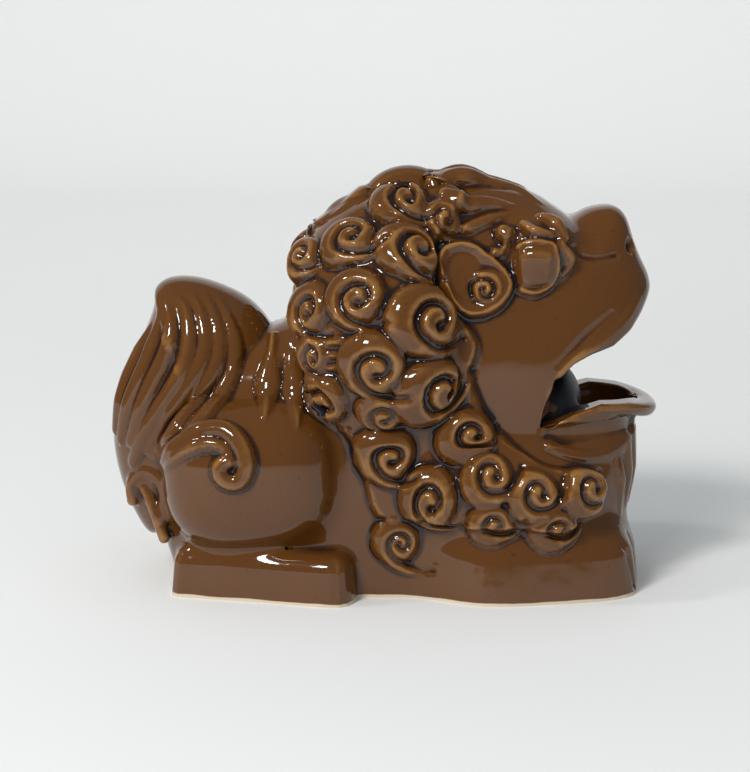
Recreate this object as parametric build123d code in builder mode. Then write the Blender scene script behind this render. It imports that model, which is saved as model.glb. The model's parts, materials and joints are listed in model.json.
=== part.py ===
"""Crouching guardian lion in brown-glazed stoneware: a hollow cast figure with an open mouth.

The figure is built up the way a pottery would: two mould halves give the hollow wall, which is cut at the
neck and at the jaw into rump, chest and head; a slab closes the bottom; and the tail, legs, mane pads,
curls and face pieces are moulded on their own and luted on with slip.

Frame: origin at the middle of the footprint on the table, +X towards the muzzle, +Z up, and the lion's
right side at -Y.  Millimetres throughout.  Right-hand pieces are made first and mirrored to the left.
Positions along the body and up it are shares of the wall's length and height, so they follow its size.
"""

import os
from math import atan2, hypot, sqrt

from build123d import *

os.makedirs("parts", exist_ok=True)

# ---------------------------------------------------------------- driving dimensions: cast wall
shell_length = 135.0      # rump to muzzle
shell_height = 109.0      # table to crown, without the curls
shell_half_width = 28.0   # middle plane to flank, without the pads
shell_front = 72.5        # where the muzzle ends
wall = 3.5                # thickness of the cast wall
floor_thickness = 4.0     # slab that closes the bottom
fullness = 3.0            # how square the cross-sections are

# joints of the cast wall
neck_top_x, neck_top_z, neck_foot_x = -24.5, 78.0, 7.0
jaw_z = 47.5              # the head sits on the chest at this height
mouth_corner_x = 40.5

# ---------------------------------------------------------------- driving dimensions: luted pieces
mane_relief = 6.0         # how far the mane pad stands out from the flank
beard_relief = 5.5
haunch_relief = 10.0
pad_sink = 12.0           # how deep the pads start, inside the wall's outer face

tail_half_width = 18.0
foot_height = 14.0
foreleg_height = 21.0
foot_inner_y = 15.0       # feet and legs start here, inside the wall
heel_outer_y = 27.5       # half widths over the heels, the hind toes, the elbows and the front toes
foot_outer_y = 39.5
elbow_outer_y = 38.5
paw_outer_y = 30.0
foot_corner = 5.0         # rounding of the feet, seen from above
foot_round = 4.0          # rounding of their upper edges

lip_height = 3.8          # lower lip, above the jaw joint
lip_reach = 3.1           # how far it runs in front of the muzzle
lip_half_width = 21.5
lip_width = 5.0           # across the rail

nose_length, nose_half_width, nose_height = 15.0, 9.5, 11.0
nose_round = 3.2
ear_length, ear_width, ear_relief = 12.0, 8.5, 4.5
eye_length, eye_width, eye_relief = 5.0, 6.0, 4.5
brow_radius, brow_relief = 3.0, 3.5
scroll_radius, scroll_relief = 6.5, 3.2
curl_relief = 3.2
curl_sink = 5.0           # how deep a luted button reaches before its seat trims it
tuft_length, tuft_width, tuft_relief = 8.0, 2.6, 2.6

shell_rear = shell_front - shell_length
centre_x = shell_rear + shell_length / 2

# Side outline of the cast wall from the heel over back, crown, brow and muzzle down to the front toes,
# as shares of the wall's length and height.
outline = [
    (0.033, 0.000), (0.000, 0.165), (0.004, 0.385), (0.085, 0.560), (0.204, 0.633), (0.278, 0.679),
    (0.285, 0.771), (0.337, 0.872), (0.433, 0.945), (0.552, 0.986), (0.641, 1.000), (0.730, 0.982),
    (0.796, 0.936), (0.841, 0.890), (0.893, 0.900), (0.936, 0.885), (0.970, 0.835), (0.996, 0.761),
    (1.000, 0.697), (0.978, 0.606), (0.978, 0.495), (0.975, 0.404), (0.972, 0.312), (0.959, 0.165),
    (0.965, 0.073), (0.960, 0.000),
]
tail_outline = [
    (-0.040, 0.090), (-0.082, 0.220), (-0.098, 0.385), (-0.082, 0.540), (-0.040, 0.660), (-0.012, 0.735),
    (0.020, 0.762), (0.065, 0.762), (0.120, 0.735), (0.180, 0.690), (0.235, 0.620), (0.235, 0.540),
    (0.190, 0.420), (0.090, 0.270), (0.000, 0.110),
]
tail_middle = (0.090, 0.440)

# Luted rounds on the right flank: share of the length, share of the height, radius.
mane_curls = [
    (0.382, 0.879, 5.3), (0.491, 0.947, 6.0), (0.570, 0.925, 4.0), (0.504, 0.847, 6.9), (0.408, 0.744, 5.3),
    (0.333, 0.709, 4.8), (0.529, 0.698, 7.4), (0.440, 0.599, 6.3), (0.545, 0.535, 7.4), (0.362, 0.504, 5.3),
    (0.340, 0.810, 4.2), (0.455, 0.800, 4.4), (0.378, 0.625, 4.4), (0.452, 0.487, 5.2), (0.455, 0.930, 3.8),
]
beard_curls = [
    (0.461, 0.367, 6.6), (0.619, 0.401, 7.1), (0.550, 0.260, 6.6), (0.661, 0.302, 5.0), (0.747, 0.261, 5.0),
    (0.846, 0.264, 5.0), (0.670, 0.210, 4.5),
]
crown_curls = [(0.401, 4.2), (0.512, 4.4), (0.602, 4.4)]   # on the middle line: share of length, radius
ear_place, eye_place, brow_place = (0.632, 0.784), (0.751, 0.806), (0.698, 0.896)
haunch_scroll_place, elbow_scroll_place = (0.169, 0.350), (0.481, 0.155)
tuft_places = [(0.217, 0.522), (0.245, 0.500), (0.273, 0.505)]


def place(share_x, share_z):
    """A point of the side view, from its shares of the wall's length and height."""
    return (shell_rear + share_x * shell_length, share_z * shell_height)


silhouette = [place(*share) for share in outline]
mane_pad = (place(0.472, 0.615), (0.193 * shell_length, 0.340 * shell_height), shell_half_width + mane_relief)
beard_pad = (place(0.680, 0.303), (0.230 * shell_length, 0.156 * shell_height), shell_half_width + beard_relief)
haunch_pad = (place(0.193, 0.284), (0.170 * shell_length, 0.220 * shell_height), shell_half_width + haunch_relief)


# ---------------------------------------------------------------- solids of the wall and the pads
def inset(points, amount):
    """The outline moved inwards, square to itself; its two ends stay on the table."""
    moved = []
    for i, (x, z) in enumerate(points):
        before, after = points[max(i - 1, 0)], points[min(i + 1, len(points) - 1)]
        run, rise = after[0] - before[0], after[1] - before[1]
        size = hypot(run, rise)
        on_table = i in (0, len(points) - 1)
        moved.append((x + amount * rise / size, z if on_table else z - amount * run / size))
    return moved


def loaf(points, middle, half_width, closed=False):
    """Right half of a rounded loaf: its side outline shrinks about `middle` from the middle plane out."""
    with BuildPart() as body:
        for share in (0, 0.3, 0.55, 0.75, 0.88, 0.96):
            factor = (1 - share**fullness) ** (1 / fullness)
            ring = [(middle[0] + (x - middle[0]) * factor, middle[1] + (z - middle[1]) * factor) for x, z in points]
            with BuildSketch(Plane.XZ.offset(share * half_width)):
                with BuildLine():
                    if closed:
                        Spline(*ring, periodic=True)
                    else:
                        edge = Spline(*ring)
                        Line(edge @ 1, edge @ 0)
                make_face()
        loft(ruled=True)
    return body.part


def lens(middle, radii, depth):
    """Right-hand lens-shaped pad, from a plane inside the wall out to `depth`."""
    with BuildPart() as pad:
        for share in ((shell_half_width - pad_sink) / depth, 0.72, 0.87, 0.95, 0.99):
            factor = sqrt(1 - share**2)
            with BuildSketch(Plane.XZ.offset(share * depth)):
                with Locations(middle):
                    Ellipse(radii[0] * factor, radii[1] * factor)
        loft()
    return pad.part


outer_right = loaf(silhouette, (centre_x, 0), shell_half_width)
cavity_right = loaf(inset(silhouette, wall), (centre_x, 0), shell_half_width - wall)


# ---------------------------------------------------------------- seats on the skin
def wall_fill(x, y, z):
    """Under 1 inside the cast wall's outer face, 1 on it, over 1 outside."""
    angle, reach = atan2(z, x - centre_x), 1.0
    for (xa, za), (xb, zb) in zip(silhouette, silhouette[1:]):
        a, b = atan2(za, xa - centre_x), atan2(zb, xb - centre_x)
        if min(a, b) <= angle <= max(a, b) and a != b:
            t = (angle - a) / (b - a)
            reach = hypot(xa + (xb - xa) * t - centre_x, za + (zb - za) * t)
    return (hypot(x - centre_x, z) / reach) ** fullness + (abs(y) / shell_half_width) ** fullness


def pad_fill(x, y, z, pad):
    """The same for a lens-shaped pad."""
    (cx, cz), (rx, rz), depth = pad
    return ((x - cx) / rx) ** 2 + ((z - cz) / rz) ** 2 + (y / depth) ** 2


def skin_fill(x, y, z):
    """The same for the wall and all its pads together."""
    pads = [pad_fill(x, y, z, pad) for pad in (mane_pad, beard_pad, haunch_pad)]
    return min(wall_fill(x, y, z), *pads)


def seat(start, direction):
    """Plane on the skin where a ray from `start` leaves it, with the skin's outward normal."""
    inside, outside = 0.0, 90.0
    for _ in range(40):
        middle = (inside + outside) / 2
        point = [s + d * middle for s, d in zip(start, direction)]
        if skin_fill(*point) < 1:
            inside = middle
        else:
            outside = middle
    point = [s + d * inside for s, d in zip(start, direction)]
    slope = []
    for axis in range(3):
        ahead = [p + (0.5 if i == axis else 0) for i, p in enumerate(point)]
        behind = [p - (0.5 if i == axis else 0) for i, p in enumerate(point)]
        slope.append(skin_fill(*ahead) - skin_fill(*behind))
    forward = Vector(1, 0, 0)
    normal = Vector(*slope).normalized()
    return Plane(origin=point, x_dir=forward - normal * forward.dot(normal), z_dir=normal)


def flank_seat(share_x, share_z):
    """Seat on the right flank."""
    x, z = place(share_x, share_z)
    return seat((x, 0, z), (0, -1, 0))


def curl(plane, radius, relief):
    """A round luted button: a rolled rim around a smaller boss."""
    with BuildPart() as button:
        with BuildSketch(Plane(origin=plane.origin, x_dir=plane.x_dir, z_dir=-plane.y_dir)):
            with BuildLine():
                Polyline((0, relief), (0, -curl_sink), (radius, -curl_sink), (radius, 0.2 * relief))
                ThreePointArc(
                    (radius, 0.2 * relief), (0.78 * radius, 0.95 * relief), (0.52 * radius, 0.5 * relief)
                )
                TangentArc((0, relief), (0.52 * radius, 0.5 * relief), tangent=(1, 0))
            make_face()
        revolve(axis=Axis(plane.origin, plane.z_dir))
    return button.part



def lug(plane, along, across, relief):
    """An oval luted bump."""
    with BuildPart() as bump:
        with BuildSketch(plane.offset(-curl_sink)):
            Ellipse(along, across)
        with BuildSketch(plane):
            Ellipse(along, across)
        with BuildSketch(plane.offset(0.55 * relief)):
            Ellipse(0.88 * along, 0.88 * across)
        with BuildSketch(plane.offset(relief)):
            Ellipse(0.5 * along, 0.5 * across)
        loft()
    return bump.part


# ---------------------------------------------------------------- cast wall: rump, chest and head
mouth_outline = [
    (mouth_corner_x, jaw_z), (mouth_corner_x + 2, jaw_z + 6.5), (mouth_corner_x + 7, jaw_z + 17),
    (mouth_corner_x + 12.5, jaw_z + 21), (mouth_corner_x + 21.5, jaw_z + 22.5),
    (mouth_corner_x + 26.5, jaw_z + 26), (shell_front + 8, jaw_z + 37), (shell_front + 8, jaw_z),
]
neck_plane = Plane(
    origin=(neck_foot_x, 0, 0), x_dir=(0, 1, 0), z_dir=(neck_top_z, 0, neck_foot_x - neck_top_x)
)

with BuildPart() as wall_right:
    add(outer_right)
    add(cavity_right, mode=Mode.SUBTRACT)
    with BuildSketch(Plane.XZ):
        Polygon(*mouth_outline, align=None)
    extrude(amount=2 * shell_half_width, mode=Mode.SUBTRACT)

with BuildPart() as rump_right:
    add(wall_right.part)
    split(bisect_by=neck_plane, keep=Keep.BOTTOM)

with BuildPart() as chest_right:
    add(wall_right.part)
    split(bisect_by=neck_plane, keep=Keep.TOP)
    split(bisect_by=Plane.XY.offset(jaw_z), keep=Keep.BOTTOM)

with BuildPart() as head_right:
    add(wall_right.part)
    split(bisect_by=neck_plane, keep=Keep.TOP)
    split(bisect_by=Plane.XY.offset(jaw_z), keep=Keep.TOP)

with BuildPart() as outer:
    add(outer_right)
    add(mirror(outer_right, about=Plane.XZ))

with BuildPart() as floor_slab:
    add(cavity_right)
    add(mirror(cavity_right, about=Plane.XZ))
    split(bisect_by=Plane.XY.offset(floor_thickness), keep=Keep.BOTTOM)

# ---------------------------------------------------------------- pads, legs and tail
with BuildPart() as tail:
    tail_right = loaf([place(*share) for share in tail_outline], place(*tail_middle), tail_half_width, closed=True)
    add(tail_right)
    add(mirror(tail_right, about=Plane.XZ))
    add(outer.part, mode=Mode.SUBTRACT)


def foot_block(footprint, height):
    """A low block on the right side with that footprint, its corners and its upper edges rounded."""
    with BuildPart() as block:
        with BuildSketch() as sole:
            Polygon(*footprint, align=None)
            fillet(sole.vertices(), foot_corner)
        extrude(amount=height)
        fillet(block.faces().sort_by(Axis.Z)[-1].edges(), foot_round)
    return block.part


hind_back, hind_front = place(0.040, 0)[0], place(0.385, 0)[0]
fore_back, elbow_x, fore_front = place(0.510, 0)[0], place(0.665, 0)[0], place(0.980, 0)[0]

with BuildPart() as hind_foot_right:
    add(foot_block([
        (hind_back, -foot_inner_y), (hind_back, -heel_outer_y), (hind_front - foot_corner, -foot_outer_y),
        (hind_front, -foot_outer_y + foot_corner), (hind_front, -foot_inner_y),
    ], foot_height))
    add(outer.part, mode=Mode.SUBTRACT)

with BuildPart() as foreleg_right:
    add(foot_block([
        (fore_back, -foot_inner_y), (fore_back, -heel_outer_y), (elbow_x, -elbow_outer_y),
        (fore_front, -paw_outer_y), (fore_front, -foot_inner_y),
    ], foreleg_height))
    add(outer.part, mode=Mode.SUBTRACT)

with BuildPart() as haunch_right:
    add(lens(*haunch_pad))
    for seat_piece in (outer, hind_foot_right, tail):
        add(seat_piece.part, mode=Mode.SUBTRACT)

with BuildPart() as beard_right:
    add(lens(*beard_pad))
    for seat_piece in (outer, foreleg_right):
        add(seat_piece.part, mode=Mode.SUBTRACT)

with BuildPart() as mane_right:
    add(lens(*mane_pad))
    for seat_piece in (outer, beard_right, haunch_right):
        add(seat_piece.part, mode=Mode.SUBTRACT)

# ---------------------------------------------------------------- face
lip_front = shell_front + lip_reach
with BuildPart() as lower_lip:
    with BuildSketch(Plane.XY.offset(jaw_z)):
        with Locations((mouth_corner_x, 0)):
            Ellipse(lip_front - mouth_corner_x, lip_half_width)
            Ellipse(lip_front - mouth_corner_x - lip_width - lip_reach, lip_half_width - lip_width, mode=Mode.SUBTRACT)
        with Locations((mouth_corner_x + 4, 0)):
            Rectangle(shell_length, 4 * lip_half_width, align=(Align.MAX, Align.CENTER), mode=Mode.SUBTRACT)
    extrude(amount=lip_height)
    for head in (head_right.part, mirror(head_right.part, about=Plane.XZ)):
        add(head, mode=Mode.SUBTRACT)

nose_x, nose_z = place(0.905, 0.905)
with BuildPart() as nose:
    with BuildSketch(Plane(origin=(nose_x, 0, nose_z - nose_height / 2), x_dir=(1, 0, 0), z_dir=(0, 0, 1))):
        Rectangle(nose_length, 2 * nose_half_width)
    extrude(amount=nose_height)
    fillet(nose.edges(), nose_round)
    add(outer.part, mode=Mode.SUBTRACT)

with BuildPart() as ear_right:
    add(lug(flank_seat(*ear_place), ear_length, ear_width, ear_relief))
    for seat_piece in (outer, mane_right):
        add(seat_piece.part, mode=Mode.SUBTRACT)

with BuildPart() as eye_right:
    add(lug(flank_seat(*eye_place), eye_length, eye_width, eye_relief))
    for seat_piece in (outer, ear_right):
        add(seat_piece.part, mode=Mode.SUBTRACT)

with BuildPart() as brow_right:
    add(lug(flank_seat(*brow_place), brow_radius, brow_radius, brow_relief))
    for seat_piece in (outer, ear_right, eye_right):
        add(seat_piece.part, mode=Mode.SUBTRACT)

# ---------------------------------------------------------------- scrolls, tufts and curls
with BuildPart() as haunch_scroll_right:
    add(curl(flank_seat(*haunch_scroll_place), scroll_radius, scroll_relief))
    for seat_piece in (outer, haunch_right, tail):
        add(seat_piece.part, mode=Mode.SUBTRACT)

with BuildPart() as elbow_scroll_right:
    add(curl(flank_seat(*elbow_scroll_place), scroll_radius, scroll_relief))
    for seat_piece in (outer, beard_right, foreleg_right):
        add(seat_piece.part, mode=Mode.SUBTRACT)

with BuildPart() as mane_curls_right:
    for share_x, share_z, radius in mane_curls:
        add(curl(flank_seat(share_x, share_z), radius, curl_relief))
    for seat_piece in (outer, mane_right, ear_right):
        add(seat_piece.part, mode=Mode.SUBTRACT)

with BuildPart() as beard_curls_right:
    for share_x, share_z, radius in beard_curls:
        add(curl(flank_seat(share_x, share_z), radius, curl_relief))
    for seat_piece in (outer, beard_right, mane_right, foreleg_right, elbow_scroll_right, mane_curls_right):
        add(seat_piece.part, mode=Mode.SUBTRACT)

with BuildPart() as crown_curls_row:
    for share_x, radius in crown_curls:
        add(curl(seat((place(share_x, 0)[0], 0, jaw_z), (0, 0, 1)), radius, curl_relief))
    for seat_piece in (outer, mane_right, mane_curls_right):
        add(seat_piece.part, mode=Mode.SUBTRACT)
    for seat_piece in (mane_right, mane_curls_right):
        add(mirror(seat_piece.part, about=Plane.XZ), mode=Mode.SUBTRACT)

with BuildPart() as back_tufts_right:
    for share_x, share_z in tuft_places:
        add(lug(flank_seat(share_x, share_z), tuft_width, tuft_length, tuft_relief))
    for seat_piece in (outer, tail, haunch_right, haunch_scroll_right, mane_right, mane_curls_right):
        add(seat_piece.part, mode=Mode.SUBTRACT)

# ---------------------------------------------------------------- names and files
paired = {
    "rump": rump_right, "chest": chest_right, "head": head_right, "hind_foot": hind_foot_right,
    "foreleg": foreleg_right, "haunch": haunch_right, "beard": beard_right, "mane": mane_right,
    "ear": ear_right, "eye": eye_right, "brow": brow_right, "haunch_scroll": haunch_scroll_right,
    "elbow_scroll": elbow_scroll_right, "mane_curls": mane_curls_right, "beard_curls": beard_curls_right,
    "back_tufts": back_tufts_right,
}
single = {"floor_slab": floor_slab, "tail": tail, "lower_lip": lower_lip, "nose": nose, "crown_curls": crown_curls_row}


def write(shape, label):
    """Name a piece and write it."""
    shape.label = label
    export_step(shape, f"parts/{label}.step")


for label, piece in single.items():
    write(piece.part, label)
for label, piece in paired.items():
    write(piece.part, f"{label}_right")
    write(mirror(piece.part, about=Plane.XZ), f"{label}_left")
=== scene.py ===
"""Looks of a crouching guardian lion in brown-glazed stoneware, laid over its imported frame.

The figure is modelled as a potter would.  Plain clay forms (body, haunch, feet, tail, nose, lip) are put
together and hollowed at the mouth, rolls and volutes of clay are laid on the skin for the mane, the ear and
the tail, and the whole is glazed: the glaze runs thin on ridges and pools in the grooves.  The finished skin
is then parted into the pieces that it is luted from.  Sculpting is in millimetres, the scene in metres.
"""

from __future__ import annotations

import json
import logging
import math
import sys
from collections.abc import Sequence
from dataclasses import dataclass, field
from enum import Enum

import bmesh
import bpy
import numpy as np
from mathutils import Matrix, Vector
from mathutils.bvhtree import BVHTree

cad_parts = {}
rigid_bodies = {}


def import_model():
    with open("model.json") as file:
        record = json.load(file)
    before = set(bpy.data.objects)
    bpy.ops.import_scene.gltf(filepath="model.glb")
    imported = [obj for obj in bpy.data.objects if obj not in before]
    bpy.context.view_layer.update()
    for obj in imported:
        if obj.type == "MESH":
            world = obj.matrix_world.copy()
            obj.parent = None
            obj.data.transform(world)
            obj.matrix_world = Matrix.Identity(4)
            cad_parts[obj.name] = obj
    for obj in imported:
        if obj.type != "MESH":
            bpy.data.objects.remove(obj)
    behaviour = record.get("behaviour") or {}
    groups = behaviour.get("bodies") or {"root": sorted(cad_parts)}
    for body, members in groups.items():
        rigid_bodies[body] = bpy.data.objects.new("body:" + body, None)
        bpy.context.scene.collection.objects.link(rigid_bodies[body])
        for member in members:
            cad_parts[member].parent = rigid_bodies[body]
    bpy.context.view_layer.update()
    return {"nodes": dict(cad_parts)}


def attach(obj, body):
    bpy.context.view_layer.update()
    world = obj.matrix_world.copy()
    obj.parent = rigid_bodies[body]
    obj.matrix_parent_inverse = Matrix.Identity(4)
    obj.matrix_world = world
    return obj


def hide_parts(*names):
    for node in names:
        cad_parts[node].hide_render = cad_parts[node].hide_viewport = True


LOG = logging.getLogger("lion")
MM = 0.001
ROUGH_VOXEL, FINE_VOXEL, QUICK_VOXEL = 1.2, 0.55, 1.0
CLEAR = 0.02  # how far a vertex off the middle plane or the table stays from it
THICKNESS = 0.8  # of the shell that each piece is made


class Side(Enum):
    """Which side of the middle plane a piece lies on, as the end of its name says."""

    RIGHT = "_right"
    LEFT = "_left"
    BOTH = ""


# ---------------------------------------------------------------- small geometry
def smooth_path(points: Sequence | np.ndarray, count: int, closed: bool = False) -> np.ndarray:
    """A smooth curve through points, resampled evenly.

    Args:
        points: the points it passes through, each of two or more numbers.
        count: how many points to return.
        closed: whether the last point joins the first.

    Returns:
        An array of count points.
    """
    p = np.asarray(points, float)
    ends = (p[-1:], p[:2]) if closed else (2 * p[:1] - p[1:2], 2 * p[-1:] - p[-2:-1])
    p = np.vstack([ends[0], p, ends[1]])
    t = np.linspace(0, 1, 13)[:-1, None]
    curve = []
    for a, b, c, d in zip(p, p[1:], p[2:], p[3:]):
        square, cube = 2 * a - 5 * b + 4 * c - d, 3 * b - a - 3 * c + d
        curve.append(0.5 * (2 * b + (c - a) * t + square * t**2 + cube * t**3))
    curve.append(p[-2][None] if not closed else curve[0][:1])
    curve = np.vstack(curve)
    along = np.concatenate([[0], np.cumsum(np.linalg.norm(np.diff(curve, axis=0), axis=1))])
    wanted = np.linspace(0, along[-1], count + closed)[:count]
    return np.stack([np.interp(wanted, along, curve[:, i]) for i in range(p.shape[1])], axis=1)


def soft_min(a: np.ndarray, b: np.ndarray, radius: float) -> np.ndarray:
    """The smaller of two distances, with a fillet of about that radius where they meet."""
    near = np.maximum(radius - np.abs(a - b), 0.0) / radius
    return np.minimum(a, b) - near * near * radius / 4


def soft_step(low: float, high: float, x: np.ndarray) -> np.ndarray:
    """0 below low, 1 above high, and a smooth rise between."""
    t = np.clip((x - low) / (high - low), 0, 1)
    return t * t * (3 - 2 * t)


def outline_distance(p: np.ndarray, outline: np.ndarray) -> np.ndarray:
    """Signed distance of plane points to a closed outline, negative inside it."""
    nearest, inside = np.full(len(p), np.inf), np.zeros(len(p), bool)
    for a, b in zip(outline, np.roll(outline, -1, axis=0)):
        side, w = b - a, p - a
        t = np.clip(w @ side / max(side @ side, 1e-9), 0, 1)
        nearest = np.minimum(nearest, ((w - t[:, None] * side) ** 2).sum(1))
        if a[1] != b[1]:
            crosses = (a[1] > p[:, 1]) != (b[1] > p[:, 1])
            inside ^= crosses & (p[:, 0] < a[0] + side[0] * (p[:, 1] - a[1]) / side[1])
    return np.sqrt(nearest) * np.where(inside, -1, 1)


# ---------------------------------------------------------------- plain clay forms
@dataclass(frozen=True)
class Form:
    """A plain clay form.

    Attributes:
        name: the piece that it belongs to.
        blend: how softly it runs into the clay beside it, in millimetres.
        heart: a point inside it from which all of its skin can be seen.
    """

    name: str
    blend: float
    heart: tuple[float, float, float]

    def distance(self, p: np.ndarray) -> np.ndarray:
        """Distance of each point to the form's skin, negative inside."""
        raise NotImplementedError

    def rough(self, bm: bmesh.types.BMesh) -> None:
        """Adds a ball to bm, pulled out to the form's skin."""
        verts = bmesh.ops.create_uvsphere(bm, u_segments=72, v_segments=36, radius=1.0)["verts"]
        rays = np.array([tuple(v.co.normalized()) for v in verts])
        near, far = np.zeros(len(rays)), np.full(len(rays), 160.0)
        for _ in range(26):
            middle = (near + far) / 2
            inside = self.distance(np.array(self.heart) + rays * middle[:, None]) < 0
            near, far = np.where(inside, middle, near), np.where(inside, far, middle)
        for vert, point in zip(verts, np.array(self.heart) + rays * near[:, None]):
            vert.co = point


@dataclass(frozen=True)
class Loaf(Form):
    """A rounded slab with a given side outline, thickest at the middle plane."""

    outline: tuple[tuple[float, float], ...]
    middle: tuple[float, float]
    half_width: float
    fullness: float
    closed: bool = False

    def distance(self, p: np.ndarray) -> np.ndarray:
        """Distance of each point to the skin, negative inside."""
        edge = smooth_path(self.outline, 500, self.closed) - self.middle
        angle = np.arctan2(edge[:, 1], edge[:, 0])
        order = np.argsort(angle)
        x, z = p[:, 0] - self.middle[0], p[:, 2] - self.middle[1]
        period = 2 * np.pi if self.closed else None
        reach = np.interp(np.arctan2(z, x), angle[order], np.hypot(*edge.T)[order], period=period)
        size = (np.hypot(x, z) / reach) ** self.fullness + (np.abs(p[:, 1]) / self.half_width) ** self.fullness
        size = np.maximum(size, 1e-9) ** (1 / self.fullness)
        return (size - 1) * np.sqrt(x * x + z * z + p[:, 1] ** 2) / size


@dataclass(frozen=True)
class Egg(Form):
    """An ellipsoid around its heart, tilted about Y by an angle in degrees, and boxier the fuller it is."""

    radii: tuple[float, float, float]
    tilt: float = 0.0
    fullness: float = 2.0

    def distance(self, p: np.ndarray) -> np.ndarray:
        """Distance of each point to the skin, negative inside."""
        c, s = math.cos(math.radians(self.tilt)), math.sin(math.radians(self.tilt))
        q = p - np.array(self.heart)
        q = np.stack([q[:, 0] * c + q[:, 2] * s, q[:, 1], q[:, 2] * c - q[:, 0] * s], axis=1)
        r = np.array(self.radii)
        near = np.maximum((np.abs(q / r) ** self.fullness).sum(1), 1e-9) ** (1 / self.fullness)
        steep = np.linalg.norm((np.abs(q / r) / near[:, None]) ** (self.fullness - 1) / r, axis=1)
        return (near - 1) / np.maximum(steep, 1e-6)


@dataclass(frozen=True)
class Block(Form):
    """An upright block with a given footprint, rounded, and leaning in towards its top."""

    footprint: tuple[tuple[float, float], ...]
    low: float
    high: float
    rounding: float
    lean: float = 0.0

    def distance(self, p: np.ndarray) -> np.ndarray:
        """Distance of each point to the skin, negative inside."""
        across = outline_distance(p[:, :2], smooth_path(self.footprint, 48, closed=True)) + self.rounding
        across = across + self.lean * np.clip(p[:, 2] - self.low, 0, None)
        upright = np.abs(p[:, 2] - (self.low + self.high) / 2) - (self.high - self.low) / 2 + self.rounding
        outside = np.hypot(np.maximum(across, 0), np.maximum(upright, 0))
        return np.minimum(np.maximum(across, upright), 0) + outside - self.rounding


@dataclass(frozen=True)
class Rail(Form):
    """A roll of clay along a path in space, of one radius and flattened in height."""

    path: tuple[tuple[float, float, float], ...]
    radius: float
    flat: float = 1.0

    def distance(self, p: np.ndarray) -> np.ndarray:
        """Distance of each point to the skin, negative inside."""
        scale = np.array([1, 1, 1 / self.flat])
        line, q = smooth_path(self.path, 40) * scale, p * scale
        found = np.full(len(p), 1e6)
        near = (np.abs(q - line.mean(0)) < np.ptp(line, axis=0) / 2 + self.radius + 25).all(1)
        for a, b in zip(line, line[1:]):
            w, side = q[near] - a, b - a
            t = np.clip(w @ side / (side @ side), 0, 1)
            found[near] = np.minimum(found[near], np.linalg.norm(w - t[:, None] * side, axis=1))
        return found - self.radius

    def rough(self, bm: bmesh.types.BMesh) -> None:
        """Adds a string of overlapping beads."""
        for point in smooth_path(self.path, 40):
            made = bmesh.ops.create_icosphere(bm, subdivisions=2, radius=self.radius)["verts"]
            for vert in made:
                vert.co = Vector((vert.co.x, vert.co.y, vert.co.z * self.flat)) + Vector(point)


@dataclass(frozen=True)
class Wedge(Form):
    """A cut right through from side to side, with a given outline in side view."""

    outline: tuple[tuple[float, float], ...]

    def distance(self, p: np.ndarray) -> np.ndarray:
        """Distance of each point to the skin, negative inside."""
        return outline_distance(p[:, [0, 2]], np.array(self.outline))

    def rough(self, bm: bmesh.types.BMesh) -> None:
        """Adds the outline as a prism across the figure."""
        made = bmesh.ops.create_circle(bm, cap_ends=True, segments=len(self.outline), radius=1.0)["verts"]
        for vert, (x, z) in zip(made, self.outline):
            vert.co = Vector((x, -60, z))
        face = made[0].link_faces[0]
        grown = bmesh.ops.extrude_face_region(bm, geom=[face])["geom"]
        bmesh.ops.translate(bm, verts=[g for g in grown if isinstance(g, bmesh.types.BMVert)], vec=(0, 120, 0))
        bmesh.ops.recalc_face_normals(bm, faces=bm.faces[:])


@dataclass(frozen=True)
class Clay:
    """Forms put together and hollowed, with others set inside."""

    solids: tuple[Form, ...]
    hollows: tuple[Form, ...]
    inserts: tuple[Form, ...] = ()

    def distance(self, p: np.ndarray) -> np.ndarray:
        """Distance of each point to the joined skin, negative in the clay."""
        q = np.stack([p[:, 0], -np.abs(p[:, 1]), p[:, 2]], axis=1)
        found = self.solids[0].distance(q)
        for form in self.solids[1:]:
            found = soft_min(found, form.distance(q), form.blend)
        for form in self.hollows:
            found = -soft_min(-found, form.distance(q), form.blend)
        for form in self.inserts:
            found = soft_min(found, form.distance(q), form.blend)
        return found

    def slope(self, p: np.ndarray) -> np.ndarray:
        """Gradient of the distance."""
        corners = np.array([[1, -1, -1], [-1, -1, 1], [-1, 1, -1], [1, 1, 1]], float)
        return sum(c * self.distance(p + 0.06 * c)[:, None] for c in corners) / 0.24

    def onto_skin(self, p: np.ndarray, steps: int = 3) -> np.ndarray:
        """The points moved onto the skin."""
        for _ in range(steps):
            slope = self.slope(p)
            move = slope * (self.distance(p) / np.maximum((slope**2).sum(1), 0.2))[:, None]
            size = np.linalg.norm(move, axis=1, keepdims=True)
            p = p - move * np.minimum(1, 0.8 / np.maximum(size, 1e-9))
        return p

    def nearest_form(self, p: np.ndarray) -> np.ndarray:
        """Which of the solids each point lies on."""
        q = np.stack([p[:, 0], -np.abs(p[:, 1]), p[:, 2]], axis=1)
        return np.argmin([form.distance(q) for form in self.solids], axis=0)


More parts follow.
